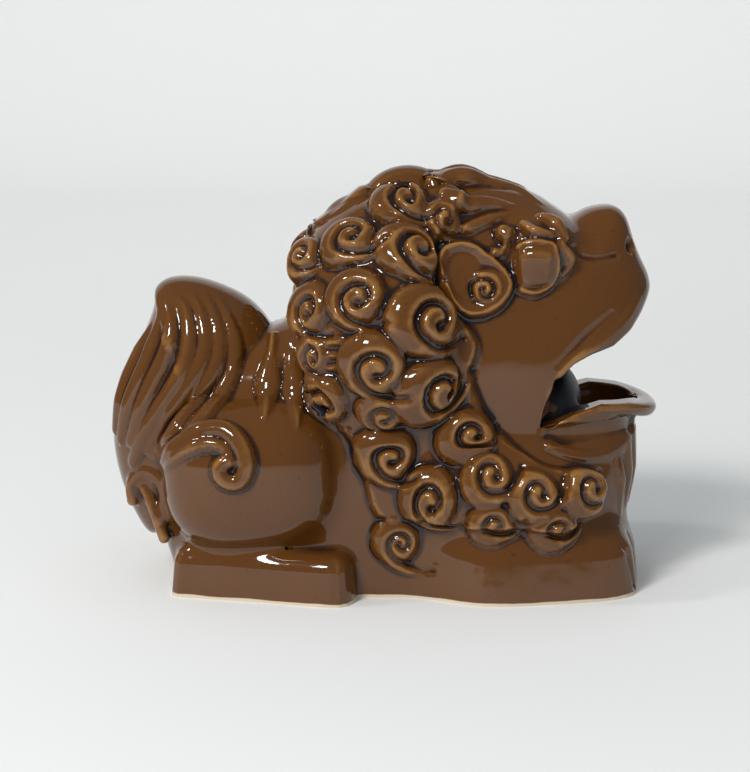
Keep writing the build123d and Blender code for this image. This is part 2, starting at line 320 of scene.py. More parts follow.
# ---------------------------------------------------------------- relief laid on the skin
@dataclass
class Relief:
    """How far each vertex of the skin is raised, and by what.

    Attributes:
        places: the vertices on the plain forms.
        tree: the plain skin, for finding places on it.
        ground: height of the broad steps.
        strands: height of the strands laid on them.
        grooves: depth of what is pressed in, as a negative height.
        owner: index in names of the piece whose strand lies on each vertex, or -1.
        names: pieces met so far.
    """

    places: np.ndarray
    tree: BVHTree
    ground: np.ndarray = field(init=False)
    strands: np.ndarray = field(init=False)
    grooves: np.ndarray = field(init=False)
    owner: np.ndarray = field(init=False)
    names: list[str] = field(default_factory=list)

    def __post_init__(self) -> None:
        """Starts with nothing laid."""
        self.ground, self.strands, self.grooves = (np.zeros(len(self.places)) for _ in range(3))
        self.owner = np.full(len(self.places), -1)

    def flank(self, xz: np.ndarray) -> tuple[np.ndarray, np.ndarray]:
        """Points of the right flank's skin at places of the side view, and its normals there.

        Over the forehead, where the skin turns away, the skin nearest to an oval beside the head is taken.

        Args:
            xz: the places.

        Returns:
            The points and the normals.
        """
        forehead, middle, half_height, half_width = 94, 67, 41, 30
        found = []
        for x, z in xz:
            place, normal, *_ = self.tree.ray_cast(Vector((x, -90.0, z)), Vector((0.0, 1.0, 0.0)))
            if place is None or z > forehead:
                out = half_width * math.sqrt(max(1 - ((z - middle) / half_height) ** 2, 0.02))
                place, normal, *_ = self.tree.find_nearest(Vector((x, -out, z)))
            found.append((tuple(place), tuple(normal)))
        return tuple(np.array(found).swapaxes(0, 1))

    def settle(self, points: np.ndarray) -> np.ndarray:
        """The nearest points of the skin."""
        return np.array([tuple(self.tree.find_nearest(Vector(point))[0]) for point in points])

    def raise_to(self, where: np.ndarray, lift: np.ndarray, piece: str) -> None:
        """Raises vertices to a height above the ground, where they aren't as high yet."""
        if piece not in self.names:
            self.names.append(piece)
        higher = lift > self.strands[where]
        claimed = where[higher & (lift > 0.3)]
        self.strands[where[higher]] = lift[higher]
        self.owner[claimed] = self.names.index(piece) if piece else -1

    def total(self) -> np.ndarray:
        """Height of every vertex over the plain forms."""
        return self.ground + self.strands + self.grooves * soft_step(0.6, 3.6, np.abs(self.places[:, 1]))


def lay(
    relief: Relief, line: np.ndarray, width: np.ndarray, height: np.ndarray, square: float, piece: str
) -> None:
    """Lays a strand along a line on the skin, or with negative heights presses a groove.

    Args:
        relief: what it is laid on.
        line: its middle line in space.
        width: half width at each point of the line.
        height: height at each point.
        square: 2 for a round back, more for a flatter one, less for a keener one.
        piece: the piece that it makes, or "".
    """
    centre = line.mean(0)
    reach = np.linalg.norm(line - centre, axis=1).max() + width.max()
    near = np.flatnonzero(np.linalg.norm(relief.places - centre, axis=1) < reach)
    best, lift = np.full(len(near), 1.0), np.zeros(len(near))
    points = relief.places[near]
    for i in range(len(line) - 1):
        side, w = line[i + 1] - line[i], points - line[i]
        t = np.clip(w @ side / max(side @ side, 1e-9), 0, 1)
        ratio = np.linalg.norm(w - t[:, None] * side, axis=1) / (width[i] + (width[i + 1] - width[i]) * t)
        closer = ratio < best
        best[closer] = ratio[closer]
        lift[closer] = (height[i] + (height[i + 1] - height[i]) * t)[closer]
    lift = lift * (1 - best**square) ** (1 / square)
    if height.min() < 0:
        relief.grooves[near] = np.minimum(relief.grooves[near], lift)
    else:
        relief.raise_to(near, lift, piece)


@dataclass(frozen=True)
class Roll:
    """A strand of clay laid on the skin, or with a negative height a groove pressed into it.

    Attributes:
        piece: the piece that it makes, or "" if it is part of what it lies on.
        line: points of its middle line, in side view or near the skin in space.
        width: half widths along it.
        height: heights along it.
        square: 2 for a round back, more for a flatter one.
        samples: how many points the line is laid with.
        evening: how often the line is evened out after it is cast on the skin.
    """

    piece: str
    line: tuple[tuple[float, ...], ...]
    width: tuple[float, ...]
    height: tuple[float, ...]
    square: float = 2.2
    samples: int = 40
    evening: int = 4

    def on_skin(self, relief: Relief) -> np.ndarray:
        """The middle line in space."""
        line = smooth_path(self.line, self.samples)
        if line.shape[1] == 2:
            line = relief.flank(line)[0]
            for _ in range(self.evening):
                line[1:-1] = (line[:-2] + 2 * line[1:-1] + line[2:]) / 4
        return relief.settle(line)

    def press(self, relief: Relief) -> None:
        """Lays the strand on the relief."""
        share = np.linspace(0, 1, self.samples)
        width = np.interp(share, np.linspace(0, 1, len(self.width)), self.width)
        height = np.interp(share, np.linspace(0, 1, len(self.height)), self.height)
        lay(relief, self.on_skin(relief), width, height, self.square, self.piece)


@dataclass(frozen=True)
class Curl:
    """A plump lobe of hair with a spiral groove in it, winding clockwise into an eye, and an arm beside it.

    Attributes:
        piece: the piece that it makes.
        centre: its middle in side view.
        radius: radius of the lobe.
        arm: direction that the groove comes in from, in degrees from +X towards +Z.
        turns: how far the groove winds.
        reach: how far the arm runs out, in radii.
        lift: height of the lobe, in radii.
    """

    piece: str
    centre: tuple[float, float]
    radius: float
    arm: float = -35.0
    turns: float = 1.12
    reach: float = 1.5
    lift: float = 0.52

    def press(self, relief: Relief) -> None:
        """Lays the lobe and its arm on the relief and presses the groove in."""
        seat, normal = (found[0] for found in relief.flank(np.array([self.centre])))
        right = np.array([1.0, 0, 0]) - normal[0] * normal
        right /= np.linalg.norm(right)
        up = np.cross(right, normal)
        up *= np.sign(up[2])
        height = self.radius * self.lift
        away = np.linalg.norm(relief.places - seat, axis=1) / self.radius
        near = np.flatnonzero(away < 1)
        relief.raise_to(near, height * (1 - away[near] ** 3.4) ** 0.5, self.piece)

        def wound(angle: np.ndarray, size: np.ndarray, shift: float) -> np.ndarray:
            """Points on the skin at those angles in degrees and distances in radii from a shifted centre."""
            turn = np.radians(angle)
            u = self.radius * (size * np.cos(turn) + shift * math.cos(math.radians(self.arm + 25)))
            v = self.radius * (size * np.sin(turn) + shift * math.sin(math.radians(self.arm + 25)))
            return relief.settle(seat + u[:, None] * right + v[:, None] * up)

        share = np.linspace(0, 1, 24)
        arm = wound(self.arm - 75 + 85 * share, 0.62 + (self.reach - 0.62) * share**1.3, 0.0)
        lay(relief, arm, self.radius * (0.36 - 0.27 * share), height * (0.92 - 0.84 * share), 2.4, self.piece)
        share = np.linspace(0, 1, 60)
        winding = self.turns * share
        sizes = (self.reach - 0.3, 0.80, 0.60, 0.44, 0.36, 0.26, 0.05)
        size = np.interp(winding, (0, 0.12, 0.25, 0.5, 0.75, 1.0, 1.6), sizes)
        groove = wound(self.arm - 360 * winding, size, 0.26)
        wide = self.radius * (0.115 - 0.02 * share) + 0.1
        lay(relief, groove, wide, -height * (0.36 + 0.22 * np.sin(np.pi * share)), 1.6, "")
        lay(relief, groove[-2:], wide[-2:] * 1.5, np.full(2, -height * 0.55), 2.0, "")


@dataclass(frozen=True)
class Patch:
    """An area of the side view raised or sunk as a whole.

    Attributes:
        piece: the piece that it makes, or "".
        outline: its outline in side view.
        height: how far it is raised, or sunk if negative.
        edge: how wide its sloping edge is.
    """

    piece: str
    outline: tuple[tuple[float, float], ...]
    height: float
    edge: float = 1.6

    def press(self, relief: Relief) -> None:
        """Raises or lowers the relief inside the outline."""
        away = outline_distance(relief.places[:, [0, 2]], smooth_path(self.outline, 90, closed=True))
        share = 1 - soft_step(-self.edge / 2, self.edge / 2, away)
        if self.piece and self.height > 0:
            inside = np.flatnonzero(share > 0)
            relief.raise_to(inside, self.height * share[inside], self.piece)
        elif self.piece:
            relief.strands += self.height * share
        else:
            relief.ground += self.height * share


# ---------------------------------------------------------------- the skin as a mesh
def evaluated_mesh(obj: bpy.types.Object) -> bpy.types.Mesh:
    """A copy of an object's mesh with its modifiers applied."""
    graph = bpy.context.evaluated_depsgraph_get()
    return bpy.data.meshes.new_from_object(obj.evaluated_get(graph))


def temporary(name: str, mesh: bpy.types.Mesh) -> bpy.types.Object:
    """A working object, removed again with drop()."""
    obj = bpy.data.objects.new(name, mesh)
    bpy.context.scene.collection.objects.link(obj)
    return obj


def drop(*objects: bpy.types.Object) -> None:
    """Removes working objects with their meshes."""
    for obj in objects:
        mesh = obj.data
        bpy.data.objects.remove(obj)
        bpy.data.meshes.remove(mesh)


def remeshed(obj: bpy.types.Object, voxel: float) -> bpy.types.Mesh:
    """The object's mesh joined up and evenly divided at that voxel size."""
    remesh = obj.modifiers.new("remesh", "REMESH")
    remesh.mode, remesh.voxel_size = "VOXEL", voxel
    bpy.context.view_layer.update()
    mesh = evaluated_mesh(obj)
    obj.modifiers.clear()
    return mesh


@dataclass
class Skin:
    """The right half of the figure's skin.

    Attributes:
        mesh: its mesh, in millimetres.
        base: vertex places on the plain forms, before any relief.
        edges: pairs of joined vertices.
    """

    mesh: bpy.types.Mesh
    base: np.ndarray = field(default_factory=lambda: np.zeros((0, 3)))
    edges: np.ndarray = field(default_factory=lambda: np.zeros((0, 2), int))

    @staticmethod
    def of(clay: Clay, voxel: float) -> "Skin":
        """Builds the skin of the joined forms.

        Args:
            clay: the forms.
            voxel: distance between vertices, in millimetres.

        Returns:
            The right half of the skin, cut open at the middle plane.
        """
        bm = bmesh.new()
        for form in clay.solids:
            form.rough(bm)
        rough = bpy.data.meshes.new("rough")
        bm.to_mesh(rough)
        bm.free()
        solid = temporary("solid", rough)
        joined = temporary("joined", remeshed(solid, ROUGH_VOXEL))
        cutters = []
        for form in clay.hollows:
            bm = bmesh.new()
            form.rough(bm)
            mesh = bpy.data.meshes.new("hollow")
            bm.to_mesh(mesh)
            bm.free()
            cutters.append(temporary("cutter", mesh))
            cut = joined.modifiers.new("cut", "BOOLEAN")
            cut.operation, cut.object, cut.solver = "DIFFERENCE", cutters[-1], "EXACT"
        bm = bmesh.new()
        bm.from_mesh(evaluated_mesh(joined))
        for form in clay.inserts:
            form.rough(bm)
        inside = bpy.data.meshes.new("inside")
        bm.to_mesh(inside)
        bm.free()
        opened = temporary("opened", inside)
        even = remeshed(opened, voxel)
        drop(solid, joined, opened, *cutters)
        bm = bmesh.new()
        bm.from_mesh(even)
        for outwards in ((0, 1, 0), (0, 0, -1)):
            geometry = bm.verts[:] + bm.edges[:] + bm.faces[:]
            bmesh.ops.bisect_plane(
                bm, geom=geometry, plane_co=(0, 0, 0), plane_no=outwards, dist=CLEAR, clear_outer=True
            )
        bm.to_mesh(even)
        bm.free()
        skin = Skin(even)
        start = skin.read()
        skin.base = clay.onto_skin(start, 5)
        skin.base[:, 1] = np.where(skin.middle(), 0, np.minimum(skin.base[:, 1], -CLEAR))
        skin.base[:, 2] = np.where(start[:, 2] < 1.5 * CLEAR, 0, np.maximum(skin.base[:, 2], CLEAR))
        skin.edges = np.zeros(len(even.edges) * 2, int)
        even.edges.foreach_get("vertices", skin.edges)
        skin.edges = skin.edges.reshape(-1, 2)
        skin.write(skin.base)
        return skin

    def read(self) -> np.ndarray:
        """Vertex places."""
        co = np.zeros(len(self.mesh.vertices) * 3)
        self.mesh.vertices.foreach_get("co", co)
        return co.reshape(-1, 3)

    def write(self, co: np.ndarray) -> None:
        """Moves the vertices."""
        self.mesh.vertices.foreach_set("co", co.ravel())
        self.mesh.update()

    def store(self, name: str, values: np.ndarray) -> None:
        """Keeps a number or a vector for each vertex as an attribute of that name."""
        kind, key = ("FLOAT", "value") if values.ndim == 1 else ("FLOAT_VECTOR", "vector")
        layer = self.mesh.attributes.new(name, kind, "POINT")
        layer.data.foreach_set(key, np.ascontiguousarray(values).ravel())

    def tree(self) -> BVHTree:
        """A search tree of its faces."""
        bm = bmesh.new()
        bm.from_mesh(self.mesh)
        found = BVHTree.FromBMesh(bm)
        bm.free()
        return found

    def middle(self) -> np.ndarray:
        """Which vertices lie on the middle plane."""
        return np.abs(self.read()[:, 1]) < 0.01

    def relaxed(self, values: np.ndarray, passes: int, strength: float = 0.6) -> np.ndarray:
        """Values per vertex, each drawn towards the mean of its neighbours."""
        a, b = self.edges.T
        count = np.maximum(np.bincount(a, minlength=len(values)) + np.bincount(b, minlength=len(values)), 1)
        flat = values.reshape(len(values), -1).copy()
        for _ in range(passes):
            for i in range(flat.shape[1]):
                column = flat[:, i]
                mean = np.bincount(a, column[b], len(column)) + np.bincount(b, column[a], len(column))
                flat[:, i] += strength * (mean / count - column)
        return flat.reshape(values.shape)

    def normals(self) -> np.ndarray:
        """Outward vertex normals, level across the middle plane."""
        found = np.zeros(len(self.mesh.vertices) * 3)
        self.mesh.vertices.foreach_get("normal", found)
        found = found.reshape(-1, 3)
        found[self.middle(), 1] = 0
        return found / np.maximum(np.linalg.norm(found, axis=1, keepdims=True), 1e-9)


# ---------------------------------------------------------------- the lion's sub-assemblies
Outline = tuple[tuple[float, float], ...]
Line = tuple[tuple[float, ...], ...]
Stroke = Roll | Curl | Patch


@dataclass(frozen=True)
class SubAssembly:
    """Clay forms that belong together, and what is laid on or pressed into the skin there."""

    def forms(self) -> tuple[Form, ...]:
        """Its plain forms, in the order that they are joined."""
        return ()

    def strokes(self) -> list[Stroke]:
        """What is laid on or pressed into the skin."""
        return []


@dataclass(frozen=True)
class Wall(SubAssembly):
    """The cast wall of body and head, thickest at the middle plane.

    Attributes:
        outline: its outline in side view, from the heel over the back to the chest.
        half_width: from the middle plane to the flank.
        fullness: how square its cross-section is.
    """

    outline: Outline = (
        (-58, 0), (-62.5, 18), (-62, 42), (-51, 61), (-35, 69), (-25, 74), (-24, 84), (-17, 95), (-4, 103),
        (12, 107.5), (24, 109.5), (36, 108.2), (42, 106), (46.6, 103), (50.5, 100.4), (56, 99.4), (62, 98),
        (66, 93.6), (68.8, 88.4), (70.8, 83.4), (71.4, 78.6), (69.5, 66), (69.5, 54), (69, 44), (68.5, 34),
        (67, 18), (68, 8), (67.5, 0),
    )
    half_width: float = 28.0
    fullness: float = 3.0

    def forms(self) -> tuple[Form, ...]:
        """The plain forms."""
        return (Loaf("wall", 1.0, (5, 0, 45), self.outline, (5, 0), self.half_width, self.fullness),)


@dataclass(frozen=True)
class Mane(SubAssembly):
    """The mane behind the cheek, with its curls.

    Attributes:
        edge: outline in side view of the step that mane and beard stand on.
        step: height of that step.
        curls: middle, radius and arm direction of each curl, from the top down.
        strand: middle line of the topmost loose strand between the curls.
        lower_by: how far below it each of the loose strands lies.
    """

    edge: Outline = (
        (-21.8, 90.7), (-22.9, 80.6), (-22.2, 69.9), (-19.6, 59.2), (-14.9, 49.7), (-9, 43), (-5.3, 32),
        (-1.6, 22.4), (10.4, 22.8), (22.5, 20.9), (35.8, 20.5), (46.5, 19.2), (55.1, 25.4), (58.1, 31.9),
        (52.5, 34.4), (41.1, 36.7), (30.4, 44.5), (24.4, 54), (22.3, 62.1), (24.3, 68.8), (18.2, 76.8),
        (13.4, 80), (11.6, 86), (12, 92), (15, 97), (18, 101), (22, 106), (8, 112), (-6, 106), (-17, 98),
    )
    step: float = 2.6
    curls: Line = (
        (5.3, 92.3, 8.4, -35), (-7.4, 81.1, 7.6, -45), (8.4, 75.8, 9.2, -20), (-18.1, 77.3, 7.2, -50),
        (-20.4, 88.4, 6.4, -30), (-3.6, 65.3, 8.2, -45), (10.4, 57.2, 9.6, 10), (-15.2, 55.4, 7.4, -55),
        (-0.6, 40.3, 8.4, -40), (-1.6, 53.0, 5.6, -40), (-17.2, 66.4, 5.6, -40),
    )
    strand: Outline = ((-20.6, 71.3), (-16.1, 69.4), (-9.5, 70.5))
    lower_by: tuple[float, ...] = (0, 3.2, 6.2)

    def forms(self) -> tuple[Form, ...]:
        """The plain forms."""
        return (Egg("mane", 5.0, (1, 0, 67), (26, 34, 36)),)

    def strokes(self) -> list[Stroke]:
        """What is laid on it and pressed into it."""
        loose = [tuple((x, z - lower) for x, z in self.strand) for lower in self.lower_by]
        return [
            Patch("", self.edge, self.step, 1.8),
            *(Roll("", line, (0.6, 1.2, 0.6), (1.2,)) for line in loose),
            *(Curl("mane_curls", row[:2], *row[2:]) for row in self.curls),
        ]


@dataclass(frozen=True)
class Beard(SubAssembly):
    """The beard below the cheek, with its rows of curls.

    Attributes:
        curls: middle, radius and arm direction of each curl, and for the first its turns and reach.
    """

    curls: Line = (
        (21.0, 43.8, 8.4, 15, 1.12, 1.1), (11.4, 28.3, 8.4, -35), (26.6, 32.9, 6.8, 20), (38.3, 28.9, 6.8, 25),
        (51.4, 29.2, 6.8, 30), (27.6, 21.6, 6.4, 10), (43.6, 19.9, 6.6, 15),
    )

    def forms(self) -> tuple[Form, ...]:
        """The plain forms."""
        return (Egg("beard", 4.0, (31, 0, 27), (35, 33.0, 21), 0.0, 2.4),)

    def strokes(self) -> list[Stroke]:
        """What is laid on it and pressed into it."""
        return [Curl("beard_curls", row[:2], *row[2:]) for row in self.curls]


@dataclass(frozen=True)
class Crown(SubAssembly):
    """The curls on the crown and the locks that run from them over the forehead.

    Attributes:
        knobs: X and Z of the middle of each knob along the middle plane, its radii and its tilt.
        curls: middle, radius and arm direction of each curl.
        crest: middle line of the crest that joins the two sides.
    """

    knobs: Line = (
        (-19.5, 87.0, 6.0, 7.0, 7.5, 35.0), (-9.1, 98.8, 7.2, 7.5, 5.6, 25.0),
        (5.6, 104.6, 7.8, 7.5, 5.4, 8.0), (20.4, 107.2, 8.0, 8.0, 5.2, -4.0),
    )
    curls: Line = ((-10.9, 95.8, 7.6, -20), (3.8, 103.6, 8.0, -20), (14.8, 100.4, 5.2, -30))
    crest: Line = ((-22, 0, 91), (-14, 0, 99), (-3, 0, 105), (9, 0, 109), (20, 0, 111), (30, 0, 110))

    def forms(self) -> tuple[Form, ...]:
        """The plain forms."""
        return tuple(
            Egg("crown_curls", 1.5, (x, 0, z), tuple(radii), tilt) for x, z, *radii, tilt in self.knobs
        )

    def strokes(self) -> list[Stroke]:
        """What is laid on it and pressed into it."""
        piece = "crown_curls"
        return [
            Roll(piece, ((13.4, 107.2), (18.6, 109), (25.3, 109.4), (33.4, 108.4), (43, 105)),
                 (2.4, 3.2, 2.6, 1.6, 0.6), (2.4, 3.0, 2.2, 1.0, 0.1)),
            Roll(piece, ((16.4, 104.4), (21.1, 103.6), (27.7, 104.2), (36, 103.6)),
                 (2.2, 2.6, 1.6, 0.5), (2.2, 2.6, 1.4, 0.1)),
            Roll(piece, ((21.4, 98.8), (27.4, 101.0), (34.8, 102.6)), (1.8, 1.6, 0.5), (2.0, 1.4, 0.1)),
            Roll(piece, self.crest, (4.0, 5.0, 5.0, 4.4, 3.0, 1.2), (0.6, 1.6, 1.8, 1.6, 1.2, 0.1), 2.0, 60),
            *(Curl(piece, row[:2], *row[2:]) for row in self.curls),
        ]


@dataclass(frozen=True)
class Ear(SubAssembly):
    """The ear, a dish with a rim and a volute at its root.

    Attributes:
        outline: its outline in side view.
        middle: what the dish is centred on.
        dish: size of the dish over that of the ear.
        depth: how deep the dish is.
    """

    outline: Outline = (
        (26.1, 91.6), (22.1, 94.8), (16.8, 94.3), (13.4, 89.8), (14.3, 84.5), (16.9, 79.7), (21.7, 76.7),
        (26.2, 77), (30.1, 79.1), (32.7, 83.1), (32.2, 86.6), (29, 89.8),
    )
    middle: tuple[float, float] = (21.8, 86.0)
    dish: float = 0.8
    depth: float = 1.3

    def strokes(self) -> list[Stroke]:
        """What is laid on it and pressed into it."""
        x0, z0 = self.middle
        hollow = tuple((x0 + self.dish * (x - x0), z0 + self.dish * (z - z0)) for x, z in self.outline)
        return [
            Patch("ear", self.outline, 3.4, 2.4),
            Patch("ear", hollow, -self.depth, 2.6),
            Roll("ear", self.outline + self.outline[:1], (0.9,), (3.9,), 2.0, 80),
            Curl("ear", (27.2, 83.4), 5.2, -160, 1.15, 1.0, 0.84),
        ]


@dataclass(frozen=True)
class Eye(SubAssembly):
    """The eye with its lids, and the brow's knob and flames around it.

    Attributes:
        outline: outline of the eyeball in side view.
        bulge: how far the eyeball stands out.
    """

    outline: Outline = ((35.8, 93.3), (43.7, 93.8), (44, 90.1), (42.8, 84.5), (35.6, 84))
    bulge: float = 2.6

    def strokes(self) -> list[Stroke]:
        """What is laid on it and pressed into it."""
        lower_lid = ((43.7, 94.1), (44.8, 90.1), (43.4, 84.4), (39.1, 82.0), (35.8, 82.9))
        upper_lid = ((35.0, 94.2), (39.0, 95.0), (43.4, 94.6))
        return [
            Patch("eye", self.outline, self.bulge, 4.0),
            Roll("eye", lower_lid, (1.0,), (2.4,)),
            Roll("eye", upper_lid, (0.8, 1.1, 0.8), (2.0,)),
            Roll("brow", ((46.8, 96.5), (44.0, 99.2), (41.4, 100.5)), (1.6, 2.2, 1.4), (1.8, 2.6, 1.4)),
            Roll("brow", ((45.9, 95), (48.4, 90.7), (46.6, 86.7)), (1.2, 1.7, 1.0), (1.6, 2.2, 1.2)),
            Roll("brow", ((36.6, 99.3), (39.5, 97.2), (43.5, 96.6)), (1.2, 1.5, 0.9), (1.6, 2.2, 1.0)),
            Roll("brow", ((31.0, 98.0), (32.0, 97.4)), (2.3,), (2.8,)),
            Roll("brow", ((31.5, 96), (31, 92.8), (28.9, 92.3)), (0.9, 0.9, 1.6), (1.8, 1.6, 2.4)),
        ]


@dataclass(frozen=True)
class Muzzle(SubAssembly):
    """Cheek, muzzle and nose.

    Attributes:
        nose: middle of the nose.
        nose_radii: its radii along X, Y and Z.
        nostril: depth of the nostril.
    """

    nose: tuple[float, float, float] = (59.6, 0, 93.6)
    nose_radii: tuple[float, float, float] = (7.7, 11.2, 9.9)
    nostril: float = 2.2

    def forms(self) -> tuple[Form, ...]:
        """The plain forms."""
        return (
            Egg("cheek", 8.0, (36, 0, 64), (26, 26, 26)),
            Egg("cheek", 5.0, (41, -12, 92), (11, 12, 11)),
            Egg("muzzle", 4.0, (60.2, -4.5, 81.8), (11.4, 12.0, 10.4)),
            Egg("nose", 4.0, self.nose, self.nose_radii, 9.0, 2.75),
        )

    def strokes(self) -> list[Stroke]:
        """What is laid on it and pressed into it."""
        return [
            Roll("", ((66.3, 93.9), (65.9, 92.6)), (1.3,), (-self.nostril,)),
            Roll("", ((50.3, 98.8), (51.2, 95), (51.6, 91)), (1.2,), (-0.2, -0.9, -0.1)),
            Roll("", ((61.5, 91.2), (57.0, 90.6), (53.0, 91.0), (51.0, 92.8)), (1.1,), (-0.8,)),
            Roll("", ((60.5, 76.0), (52.6, 69.8), (46.6, 63.0)), (1.3,), (-0.3, -0.7, -0.2)),
        ]


@dataclass(frozen=True)
class Mouth(SubAssembly):
    """The open mouth with its lower lip, and the folds and fringe on the chest below it.

    Attributes:
        gape: outline in side view of the cut between the jaws.
        lip: middle line of the lower lip.
        lip_radius: half the lip's width.
        lip_flat: the lip's height over its width.
        fringe: middle lines of the fringe's strands, from the flank to the front.
    """

    gape: Outline = (
        (41, 46), (42, 51), (45, 59), (49.5, 63), (55, 65.5), (61, 67.4), (66, 71.2), (69.5, 75.6), (73, 81.5),
        (90, 90), (90, 51), (76, 49.5), (66, 51.5), (58, 51.8), (50, 49.3), (45, 46.8),
    )
    lip: Line = (
        (43.5, -21.5, 45.5), (47, -21, 48.6), (53, -20.3, 50.4), (60, -18.6, 51), (67, -14.5, 50.4),
        (71.0, -8, 49.0), (72.0, 0, 48.4),
    )
    lip_radius: float = 3.1
    lip_flat: float = 0.94
    fringe: tuple[Line, ...] = (
        ((66, -21, 38), (68, -20.4, 30), (69, -19.6, 22)),
        ((69, -16, 41), (71, -15.6, 32), (72, -15, 22)),
        ((71, -10.4, 42), (73, -10.2, 32), (73, -10, 22)),
        ((72, -4.8, 42), (74, -4.8, 32), (74, -4.8, 22)),
    )

    def forms(self) -> tuple[Form, ...]:
        """The plain forms."""
        return (Rail("lower_lip", 1.5, (60, -18, 50), self.lip, self.lip_radius, self.lip_flat),)

    def hollows(self) -> tuple[Form, ...]:
        """What is cut out of the joined clay."""
        return (
            Wedge("gape", 1.6, (55, 0, 60), self.gape),
            Egg("throat", 1.2, (31, 0, 62), (34, 19, 31)),
            Egg("trough", 1.2, (56.5, 0, 50), (12.4, 14.2, 9)),
        )

    def inserts(self) -> tuple[Form, ...]:
        """What is set in after the cutting."""
        # a mouth floor set in to close the view through the mouth; it lies in the throat box and is painted
        # near black there as painted shade
        return (Egg("mouth_floor", 3.0, (45.0, 0, 47.0), (9.0, 19.0, 13.0), -12.0),)

    def strokes(self) -> list[Stroke]:
        """What is laid on it and pressed into it."""
        upper_lip = ((42.6, 54.4), (48.2, 63.2), (58.0, 69.0), (64.4, 74.4), (68.2, 79.8))
        chin_fold = ((43.8, 41.5), (47.6, 39.6), (53.9, 38.2), (60.1, 38.2), (65.7, 39.6))
        return [
            Roll("", upper_lip, (1.3,), (0.05, 0.7, 0.7, 0.7, 0.2)),
            Roll("", ((44.5, 44.4), (50.0, 44.2), (58.0, 44.4), (67.0, 45.0)), (3.0,), (-1.4,)),
            Roll("", chin_fold, (1.8,), (1.2, 1.2, 0.4)),
            *(Roll("", line, (1.6, 2.0, 1.0), (0.5, 1.3, 0.3)) for line in self.fringe),
        ]


@dataclass(frozen=True)
class Legs(SubAssembly):
    """Hind foot and foreleg, with the toes and the scroll behind the elbow.

    Attributes:
        hind_footprint: outline of the hind foot from above.
        foreleg_footprint: outline of foreleg and paw from above.
        hind_height: top of the hind foot.
        foreleg_height: top of the foreleg.
        toes: middle lines of the grooves between the toes.
    """

    hind_footprint: Outline = (
        (-56, -12), (-58.5, -20), (-57.5, -27), (-50, -29.5), (-30, -34.5), (-15, -38.6), (-9.5, -36.5),
        (-7, -28), (-8, -16), (-20, -10), (-40, -10),
    )
    foreleg_footprint: Outline = (
        (3, -15), (7, -24), (17, -34), (28, -38.3), (45, -36), (60, -32), (68, -26), (69.8, -16), (67, -8),
        (40, -8), (15, -10),
    )
    hind_height: float = 13.2
    foreleg_height: float = 19.0
    toes: tuple[Line, ...] = (
        ((64, -26, 14.6), (69, -25.6, 9.5), (70, -25, 3.0)),
        ((66, -18, 15.0), (72, -18, 9.5), (73, -18, 3.0)),
    )

    def forms(self) -> tuple[Form, ...]:
        """The plain forms."""
        return (
            Block("hind_foot", 2.0, (-34, -23, 7), self.hind_footprint, -6.0, self.hind_height, 4.2, 0.09),
            Block("foreleg", 7.0, (38, -20, 9), self.foreleg_footprint, -8.0, self.foreleg_height, 8.0, 0.13),
        )

    def strokes(self) -> list[Stroke]:
        """What is laid on it and pressed into it."""
        return [
            *(Roll("", line, (1.3,), (-0.4, -1.1, -0.6)) for line in self.toes),
            Curl("elbow_scroll", (2.5, 16.0), 6.6, -40, 1.4, 2.1),
        ]


@dataclass(frozen=True)
class Haunch(SubAssembly):
    """The haunch with its scroll, and the leaf tufts on the back above it.

    Attributes:
        middle: middle of the haunch.
        radii: its radii along X, Y and Z.
        scroll: outer line of the scroll, winding in.
        inner_scroll: the line inside it.
    """

    middle: tuple[float, float, float] = (-36.0, -16, 33)
    radii: tuple[float, float, float] = (24.5, 22.0, 20.8)
    scroll: Outline = (
        (-62.3, 36.3), (-56.9, 41.7), (-49, 46.3), (-42.4, 47.1), (-37.7, 43), (-36.7, 37.6), (-39.1, 34.1),
        (-42.8, 35.2), (-43.5, 38.5), (-41.2, 39.5),
    )
    inner_scroll: Outline = ((-60.2, 34.1), (-54.3, 40.3), (-47.7, 43.6), (-42.4, 43), (-40.1, 39.5))

    def forms(self) -> tuple[Form, ...]:
        """The plain forms."""
        return (Egg("haunch", 5.0, self.middle, self.radii, 5.0, 2.7),)

    def strokes(self) -> list[Stroke]:
        """What is laid on it and pressed into it."""
        rear_leaf = ((-30.9, 64.6), (-31.4, 58), (-32, 49.4))
        front_leaf = ((-25.4, 64.6), (-24.6, 57.5), (-23.4, 47.3))
        return [
            Roll("haunch_scroll", self.scroll, (1.2, 2.6, 2.6, 2.3), (0.3, 2.8, 3.2, 3.0), 2.2, 70),
            Roll("haunch_scroll", self.inner_scroll, (0.9, 2.0, 1.5), (0.2, 2.6, 2.2)),
            Roll("back_tufts", rear_leaf, (1.6, 3.8, 0.5), (0.8, 2.2, 0.6), 1.8),
            Roll("back_tufts", front_leaf, (1.6, 3.6, 0.5), (0.8, 2.2, 0.6), 1.8),
            Roll("back_tufts", ((-30.4, 69.0), (-30.9, 63.6)), (1.1,), (1.2,)),
        ]


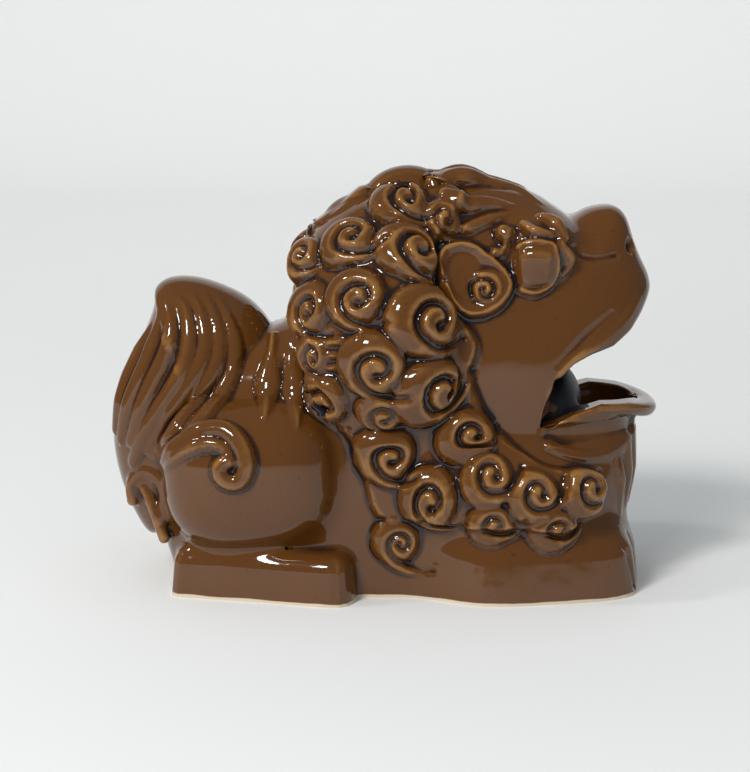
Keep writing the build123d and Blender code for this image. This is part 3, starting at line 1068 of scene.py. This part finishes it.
@dataclass(frozen=True)
class Tail(SubAssembly):
    """The upright flame tail, with its ridges and the loop and leaf at its root.

    Attributes:
        outline: its outline in side view.
        half_width: from the middle plane to its side.
        loop: middle line of the loop at the root.
        leaf: middle line of the leaf inside the loop.
        ridges: middle lines of the ridges in side view.
    """

    outline: Outline = (
        (-72.5, 24), (-75.5, 38), (-74, 50), (-69.5, 62), (-65, 72), (-63.5, 77), (-63, 81), (-59, 83.5),
        (-52, 83.5), (-44, 81), (-37, 77), (-32, 71), (-31, 65), (-34, 58), (-38, 51), (-44, 45), (-52, 33),
        (-60, 16), (-66, 12),
    )
    half_width: float = 18.0
    loop: Line = (
        (-60.2, -15.5, 20), (-60.8, -15.5, 28.4), (-65.4, -13.6, 31.6), (-69.6, -11.4, 27.8), (-69.6, -11, 23),
    )
    leaf: Line = ((-65.6, -13.2, 26.6), (-63.0, -15.4, 20.4), (-60.6, -16.4, 13.6))
    ridges: tuple[Outline, ...] = (
        ((-57.4, 80.3), (-55, 78.4), (-52.9, 71.1), (-53.9, 61.6), (-59.7, 52), (-66.1, 40.9), (-69, 34)),
        ((-52.9, 81.0), (-49.6, 74), (-48.6, 65.8), (-52.8, 56.3), (-59.7, 46.7), (-64.5, 38.4)),
        ((-49.4, 80.6), (-45.3, 71.3), (-45.2, 63.1), (-49.6, 54.4), (-56.2, 45.3), (-62.6, 37)),
        ((-45.8, 79.8), (-41.3, 69.9), (-40.9, 61.7), (-44.7, 53.5), (-51.6, 45.3), (-59.9, 37)),
        ((-59.6, 78.0), (-57.8, 71.0), (-60.4, 62.0), (-65.4, 51.2), (-69.6, 40.1)),
        ((-61.6, 76.0), (-62.4, 70), (-65.4, 60.6), (-69.6, 51.0), (-72.6, 40.1)),
        ((-64.0, 72), (-67, 65), (-71.4, 54), (-74.3, 42.3)),
    )

    def forms(self) -> tuple[Form, ...]:
        """The plain forms."""
        return (
            Loaf("tail", 1.2, (-52, -1, 55), self.outline, (-52, 50), self.half_width, 2.4, True),
            Rail("tail", 2.0, (-62, -15, 20), self.loop, 1.6),
            Rail("tail", 2.0, (-62, -15, 20), self.leaf, 1.5),
        )

    def strokes(self) -> list[Stroke]:
        """What is laid on it and pressed into it."""
        width, height = (0.7, 2.3, 2.6, 2.5, 1.8), (0.1, 1.7, 2.2, 2.1, 1.0)
        return [Roll("", line, width, height, 2.0, 60, 20) for line in self.ridges]


@dataclass(frozen=True)
class Lion:
    """The whole figure, of its sub-assemblies."""

    wall: Wall = Wall()
    mane: Mane = Mane()
    beard: Beard = Beard()
    crown: Crown = Crown()
    muzzle: Muzzle = Muzzle()
    ear: Ear = Ear()
    eye: Eye = Eye()
    mouth: Mouth = Mouth()
    legs: Legs = Legs()
    haunch: Haunch = Haunch()
    tail: Tail = Tail()

    def clay(self) -> Clay:
        """The plain forms joined up, hollowed at the mouth."""
        joined = (
            self.wall, self.mane, self.beard, self.crown, self.muzzle, self.legs, self.haunch, self.tail,
            self.mouth,
        )
        solids = tuple(form for part in joined for form in part.forms())
        return Clay(solids, self.mouth.hollows(), self.mouth.inserts())

    def sculpt(self, clay: Clay, skin: Skin) -> Relief:
        """Lays the strokes on the skin and moves its vertices out by them.

        Args:
            clay: the plain forms.
            skin: their skin.

        Returns:
            The relief that was laid, which knows what lies where.
        """
        relief = Relief(skin.base, skin.tree())
        laid = (
            self.tail, self.ear, self.eye, self.muzzle, self.mouth, self.haunch, self.crown, self.mane,
            self.beard, self.legs,
        )
        for part in laid:
            for stroke in part.strokes():
                stroke.press(relief)
        slope = clay.slope(skin.base)
        slope[skin.base[:, 1] == 0, 1] = 0
        slope /= np.maximum(np.linalg.norm(slope, axis=1, keepdims=True), 1e-6)
        moved = skin.base + slope * skin.relaxed(relief.total(), 2)[:, None]
        moved[:, 1] = np.where(skin.base[:, 1] == 0, 0, np.minimum(moved[:, 1], -CLEAR))
        moved[:, 2] = np.where(skin.base[:, 2] == 0, 0, np.maximum(moved[:, 2], CLEAR))
        skin.write(moved)
        return relief


# ---------------------------------------------------------------- glaze
class Shade:
    """A socket of a material, for writing its shader maths as Python expressions."""

    def __init__(self, tree: bpy.types.NodeTree, socket: bpy.types.NodeSocket) -> None:
        """Wraps a socket of that tree."""
        self.tree, self.socket = tree, socket

    def node(self, kind: str, output: str = "", inputs: dict | None = None,
             **settings: str | float) -> "Shade":
        """Adds a node.

        Args:
            kind: its type name.
            output: the output wanted, or the first one.
            inputs: values or sockets for its inputs, by name or index.
            settings: properties of the node.

        Returns:
            The wanted output.
        """
        made = self.tree.nodes.new(kind)
        for name, value in settings.items():
            setattr(made, name, value)
        for name, value in (inputs or {}).items():
            if isinstance(value, Shade):
                self.tree.links.new(value.socket, made.inputs[name])
            else:
                made.inputs[name].default_value = value
        return Shade(self.tree, made.outputs[output] if output else made.outputs[0])

    def math(self, operation: str, *values: float | Shade) -> "Shade":
        """A Math node of that operation on this socket and those values."""
        return self.node("ShaderNodeMath", inputs=dict(enumerate((self, *values))), operation=operation)

    def __add__(self, other: float | Shade) -> "Shade":
        """This plus other."""
        return self.math("ADD", other)

    def __radd__(self, other: float | Shade) -> "Shade":
        """Other plus this."""
        return self.math("ADD", other)

    def __sub__(self, other: float | Shade) -> "Shade":
        """This less other."""
        return self.math("SUBTRACT", other)

    def __rsub__(self, other: float | Shade) -> "Shade":
        """Other less this."""
        return self.node("ShaderNodeMath", inputs={0: other, 1: self}, operation="SUBTRACT")

    def __mul__(self, other: float | Shade) -> "Shade":
        """This times other."""
        return self.math("MULTIPLY", other)

    def __rmul__(self, other: float | Shade) -> "Shade":
        """Other times this."""
        return self.math("MULTIPLY", other)

    def between(self, low: float, high: float) -> "Shade":
        """0 below low and 1 above high."""
        return self.node("ShaderNodeMapRange", inputs={"Value": self, "From Min": low, "From Max": high},
                         interpolation_type="SMOOTHSTEP")

    def mix(self, dark: tuple | "Shade", light: tuple | "Shade") -> "Shade":
        """Colour between the two, by this socket."""
        made = self.node("ShaderNodeMix", data_type="RGBA", inputs={0: self, 6: dark, 7: light})
        return Shade(self.tree, made.socket.node.outputs[2])


def colour(red: float, green: float, blue: float) -> tuple[float, float, float, float]:
    """A colour as a socket takes it."""
    return (red, green, blue, 1.0)


@dataclass(frozen=True)
class Glaze:
    """A glossy iron glaze over stoneware, bare where the figure stands.

    Attributes:
        thin: colour where it runs off a ridge.
        body: colour over a plain surface.
        deep: colour where it gathers.
        pool_and_mouth_shade: colour where it is thickest in deep grooves, and the painted shade inside the
            mouth.
        clay: colour of the bare clay.
        bare_height: how far up the clay is bare, in metres.
    """

    thin: tuple = colour(0.27, 0.125, 0.033)
    body: tuple = colour(0.104, 0.037, 0.0066)
    deep: tuple = colour(0.028, 0.009, 0.003)
    pool_and_mouth_shade: tuple = colour(0.007, 0.007, 0.010)
    clay: tuple = colour(0.62, 0.52, 0.38)
    bare_height: float = 0.0007

    def material(self, name: str = "amber_glaze") -> bpy.types.Material:
        """Builds the material."""
        made = bpy.data.materials.new(name)
        made.use_nodes = True
        tree = made.node_tree
        shader = tree.nodes["Principled BSDF"]
        start = Shade(tree, shader.outputs[0])
        place = start.node("ShaderNodeTexCoord", "Object")
        # glaze level per vertex: real pooling in grooves and thinning on ridges, and painted shade inside the
        # mouth
        pooling_and_mouth_shade = start.node("ShaderNodeAttribute", "Fac", attribute_name="glaze")
        wander = start.node("ShaderNodeTexNoise", inputs={"Vector": place, "Scale": 90.0, "Detail": 4.0})
        speckle = start.node("ShaderNodeTexNoise", inputs={"Vector": place, "Scale": 900.0, "Detail": 2.0})
        level = pooling_and_mouth_shade + (wander - 0.5) * 0.25
        tone = level.between(-0.9, -0.25).mix(self.thin, self.body)
        tone = level.between(0.15, 0.6).mix(tone, self.deep)
        # near black at the thickest level: glaze pooled in deep grooves, and painted shade inside the mouth
        tone = level.between(0.6, 1.1).mix(tone, self.pool_and_mouth_shade)
        tone = (speckle.between(0.66, 0.74) * 0.5).mix(tone, self.deep)
        height = place.node("ShaderNodeSeparateXYZ", "Z", inputs={0: place})
        bare = 1 - (height + (wander - 0.5) * 0.0008).between(self.bare_height, self.bare_height + 0.0003)
        tree.links.new(bare.mix(tone, self.clay).socket, shader.inputs["Base Color"])
        dull = pooling_and_mouth_shade.between(1.3, 1.6)
        tree.links.new((bare * 0.6 + dull * 0.4 + 0.07).socket, shader.inputs["Roughness"])
        shader.inputs["IOR"].default_value = 1.56
        swell = place.node("ShaderNodeTexNoise", inputs={"Vector": place, "Scale": 130.0, "Detail": 1.0})
        bump = place.node("ShaderNodeBump", inputs={"Strength": 0.2, "Distance": 0.0004, "Height": swell})
        tree.links.new(bump.socket, shader.inputs["Normal"])
        return made


@dataclass(frozen=True)
class PlainFinish:
    """One even colour.

    Attributes:
        tint: the colour.
        roughness: how matt it is.
    """

    tint: tuple
    roughness: float

    def material(self, name: str) -> bpy.types.Material:
        """Builds the material."""
        made = bpy.data.materials.new(name)
        made.use_nodes = True
        shader = made.node_tree.nodes["Principled BSDF"]
        shader.inputs["Base Color"].default_value = self.tint
        shader.inputs["Roughness"].default_value = self.roughness
        return made


# ---------------------------------------------------------------- pieces
NECK = ((-24.5, 78.0), (7.0, 0.0))
JAW = 47.5
MIDDLE_PIECES = ("tail", "nose", "lower_lip", "crown_curls")
THROAT = ((22, -20, 44), (55, 20, 80))  # opposite corners of the box that the mouth's inside lies in, which is painted near black as painted shade
MOUTH_PAINTED_SHADE = 1.6  # glaze level set inside the mouth: painted shade, the near black pool colour standing for the shade there


def label(clay: Clay, relief: Relief) -> tuple[np.ndarray, list[str]]:
    """Which piece each vertex belongs to.

    Args:
        clay: the plain forms.
        relief: what is laid on them.

    Returns:
        An index per vertex, and the names that they stand for.
    """
    names = ["rump", "chest", "head"]
    p = relief.places
    (x0, z0), (x1, z1) = NECK
    behind = (x1 - x0) * (p[:, 2] - z0) - (z1 - z0) * (p[:, 0] - x0) < 0
    found = np.where(behind, 0, np.where(p[:, 2] < JAW, 1, 2))
    form = clay.nearest_form(p)
    for i, solid in enumerate(clay.solids):
        name = {"wall": "", "cheek": "", "muzzle": ""}.get(solid.name, solid.name)
        if name:
            names += [name] if name not in names else []
            found[form == i] = names.index(name)
    for i, name in enumerate(relief.names):
        if name:
            names += [name] if name not in names else []
            found[relief.owner == i] = names.index(name)
    return found, names


def cavity(skin: Skin, mouth: Mouth) -> np.ndarray:
    """How thick the glaze gathers, with painted shade inside the mouth.

    Args:
        skin: the sculpted skin.
        mouth: the mouth, whose inside is set to the thickest level as painted shade.

    Returns:
        A number for each vertex that grows with the depth of the groove it lies in, negative on a ridge.
    """
    co, normals = skin.read(), skin.normals()
    fine = ((skin.relaxed(co, 5) - co) * normals).sum(1)
    broad = ((skin.relaxed(co, 40) - co) * normals).sum(1)
    found = skin.relaxed(2.8 * fine + 0.33 * np.maximum(broad, -0.3), 1)
    p = skin.base
    # painted shade: the mouth's inside is raised to the thickest level, so that it is painted near black
    low, high = np.array(THROAT)
    inside = ((p > low) & (p < high)).all(1) & (normals[:, 1] > -0.9)
    inside &= outline_distance(p[:, [0, 2]], np.array(mouth.gape)) < 60
    return np.where(inside, np.maximum(found, MOUTH_PAINTED_SHADE), found)


def main() -> None:
    """Builds the figure and its studio."""
    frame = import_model()
    lion = Lion()
    clay = lion.clay()
    skin = Skin.of(clay, FINE_VOXEL)
    LOG.info("skin: %d vertices", len(skin.base))
    relief = lion.sculpt(clay, skin)
    owner, names = label(clay, relief)
    # glaze level: pooling in grooves and thinning on ridges, with painted shade inside the mouth
    skin.store("glaze", cavity(skin, lion.mouth))
    skin.store("shading", skin.normals())
    glaze = Glaze().material()
    for name, mesh in parted(skin.mesh, owner, names).items():
        for cover in (Side.BOTH,) if name in MIDDLE_PIECES else (Side.RIGHT, Side.LEFT):
            side = cover.value
            piece = build_piece(mesh, name + side, cover)
            piece.data.materials.clear()
            piece.data.materials.append(glaze)
            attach(piece, "root")
            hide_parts(name + side)
            LOG.info("%s: %d faces", name + side, len(piece.data.polygons))
    slab = frame["nodes"]["floor_slab"]
    slab.material_slots[0].material = PlainFinish(colour(0.62, 0.52, 0.38), 0.8).material("bare_clay")
    Studio().build()


def parted(mesh: bpy.types.Mesh, owner: np.ndarray, names: list[str]) -> dict[str, bpy.types.Mesh]:
    """The skin cut apart into its pieces.

    Args:
        mesh: the right half of the skin.
        owner: the piece that each vertex belongs to, as an index into names.
        names: the pieces.

    Returns:
        A mesh for each name, in millimetres.
    """
    corners = np.zeros(len(mesh.loops), int)
    mesh.loops.foreach_get("vertex_index", corners)
    first = np.zeros(len(mesh.polygons), int)
    mesh.polygons.foreach_get("loop_start", first)
    mesh.materials.clear()
    for name in names:
        mesh.materials.append(bpy.data.materials.new("part_" + name))
    mesh.polygons.foreach_set("material_index", owner[corners[first]])
    whole = temporary("whole", mesh)
    bpy.context.view_layer.objects.active = whole
    whole.select_set(True)
    bpy.ops.mesh.separate(type="MATERIAL")
    found = {}
    for obj in [o for o in bpy.context.scene.objects if o.name.startswith("whole")]:
        found[obj.data.materials[0].name.removeprefix("part_")] = obj.data
        bpy.data.objects.remove(obj)
    return found


def build_piece(mesh: bpy.types.Mesh, name: str, cover: Side) -> bpy.types.Object:
    """One piece of the figure, made a closed shell.

    Args:
        mesh: its part of the right half of the skin, in millimetres.
        name: the piece's name.
        cover: which side it lies on; the left one is mirrored, and one for both is joined to its mirror image.

    Returns:
        The piece, in metres.
    """
    bm = bmesh.new()
    bm.from_mesh(mesh)
    shading = bm.verts.layers.float_vector["shading"]
    if cover is Side.LEFT:
        bmesh.ops.scale(bm, verts=bm.verts[:], vec=(1, -1, 1))
        bmesh.ops.reverse_faces(bm, faces=bm.faces[:])
    elif cover is Side.BOTH:
        geometry = bm.verts[:] + bm.edges[:] + bm.faces[:]
        bmesh.ops.mirror(bm, geom=geometry, merge_dist=0.015, axis="Y")
        bmesh.ops.reverse_faces(bm, faces=[face for face in bm.faces if face.calc_center_median().y > 0])
    copies = bmesh.ops.extrude_face_region(bm, geom=bm.faces[:], use_keep_orig=True)["geom"]
    bmesh.ops.reverse_faces(bm, faces=bm.faces[:])
    for vert in [g for g in copies if isinstance(g, bmesh.types.BMVert)]:
        x, y, z = vert[shading]
        side = -1 if vert.co.y > 1e-4 else 1
        vert.co -= THICKNESS * Vector((x, side * y, z))
        vert[shading] = (-x, -y, -z)
    bmesh.ops.scale(bm, verts=bm.verts[:], vec=(MM, MM, MM))
    made = bpy.data.meshes.new(name + "_skin")
    bm.to_mesh(made)
    bm.free()
    made.shade_smooth()
    wanted, co = np.zeros((2, len(made.vertices), 3))
    made.attributes["shading"].data.foreach_get("vector", wanted.reshape(-1))
    made.vertices.foreach_get("co", co.reshape(-1))
    wanted[co[:, 1] > 1e-7, 1] *= -1
    made.normals_split_custom_set_from_vertices(wanted)
    made.attributes.remove(made.attributes["shading"])
    obj = bpy.data.objects.new(name + "_skin", made)
    bpy.context.scene.collection.objects.link(obj)
    return obj


# ---------------------------------------------------------------- studio
@dataclass
class Studio:
    """A pale sweep, soft light from the left, and the camera.

    Attributes:
        aim: what the camera looks at, in metres.
        distance: how far away it is.
        elevation: how far above the table it looks from, in degrees.
        lens: its focal length in millimetres.
    """

    aim: tuple[float, float, float] = (-0.0029, 0.0, 0.053)
    distance: float = 0.6
    elevation: float = 10.0
    lens: float = 100.7

    def build(self) -> None:
        """Builds the sweep, the lights and the camera."""
        self.sweep()
        self.light("window", (-0.42, -0.68, 0.72), 0.19, 4.6, True)
        self.light("lamp", (-0.75, -0.15, 0.85), 0.09, 1.5, True)
        self.light("backdrop", (0.0, 0.7, 1.1), 0.8, 2.4, False, (0.0, 1.9, 0.3))
        self.sky("daylight", (0.42, 0.72, -0.54), 22.0, 0.95, (1.0, 0.985, 0.95))
        self.sky("overhead", (0.1, 0.5, -0.85), 120.0, 0.75, (0.93, 0.975, 1.0))
        world = bpy.data.worlds.new("room")
        world.use_nodes = True
        world.node_tree.nodes["Background"].inputs["Color"].default_value = colour(0.82, 0.93, 1.0)
        world.node_tree.nodes["Background"].inputs["Strength"].default_value = 0.18
        bpy.context.scene.world = world
        bpy.context.scene.view_settings.view_transform = "Standard"
        camera = bpy.data.cameras.new("camera")
        camera.lens, camera.sensor_width, camera.sensor_fit = self.lens, 36.0, "AUTO"
        camera.clip_start, camera.clip_end = 0.05, 20.0
        obj = bpy.data.objects.new("camera", camera)
        tilt = math.radians(self.elevation)
        obj.location = Vector(self.aim) + self.distance * Vector((0, -math.cos(tilt), math.sin(tilt)))
        obj.rotation_euler = (math.pi / 2 - tilt, 0, 0)
        bpy.context.scene.collection.objects.link(obj)
        bpy.context.scene.camera = obj

    def sweep(self) -> None:
        """The table, bending up behind the figure."""
        bm = bmesh.new()
        floor = bmesh.ops.create_grid(bm, x_segments=1, y_segments=1, size=2.0)["verts"]
        back = [e for e in bm.edges if all(v.co.y > 1.9 for v in e.verts)]
        bmesh.ops.translate(bm, verts=back[0].verts, vec=(0, -0.8, 0))
        turned = bmesh.ops.spin(bm, geom=back, cent=(0, 1.2, 0.5), axis=(1, 0, 0), angle=math.pi / 2, steps=16)
        arc = [g for g in turned["geom_last"] if isinstance(g, bmesh.types.BMEdge)]
        wall = bmesh.ops.extrude_edge_only(bm, edges=arc)["geom"]
        bmesh.ops.translate(bm, verts=[g for g in wall if isinstance(g, bmesh.types.BMVert)], vec=(0, 0, 1.5))
        mesh = bpy.data.meshes.new("sweep")
        bm.to_mesh(mesh)
        bm.free()
        mesh.shade_smooth()
        obj = bpy.data.objects.new("sweep", mesh)
        mesh.materials.append(PlainFinish(colour(0.88, 0.875, 0.86), 0.8).material("paper"))
        bpy.context.scene.collection.objects.link(obj)

    def sky(self, name: str, direction: tuple, spread: float, power: float, tint: tuple) -> None:
        """Even light from one side of the room, which the glaze doesn't mirror."""
        lamp = bpy.data.lights.new(name, "SUN")
        lamp.angle, lamp.energy, lamp.color = math.radians(spread), power, tint
        obj = bpy.data.objects.new(name, lamp)
        obj.rotation_euler = Vector(direction).to_track_quat("-Z", "Y").to_euler()
        obj.visible_glossy = False
        bpy.context.scene.collection.objects.link(obj)

    def light(
        self, name: str, place: tuple, size: float, power: float, mirrored: bool, aim: tuple = ()
    ) -> None:
        """An area light turned to the figure, or to another aim, and seen in the glaze or not."""
        lamp = bpy.data.lights.new(name, "AREA")
        lamp.size, lamp.energy = size, power
        obj = bpy.data.objects.new(name, lamp)
        obj.location = place
        obj.rotation_euler = (Vector(aim or self.aim) - Vector(place)).to_track_quat("-Z", "Y").to_euler()
        obj.visible_glossy = mirrored
        bpy.context.scene.collection.objects.link(obj)


if __name__ == "__main__":
    logging.basicConfig(level=logging.INFO, format="%(message)s", stream=sys.stdout)
    main()
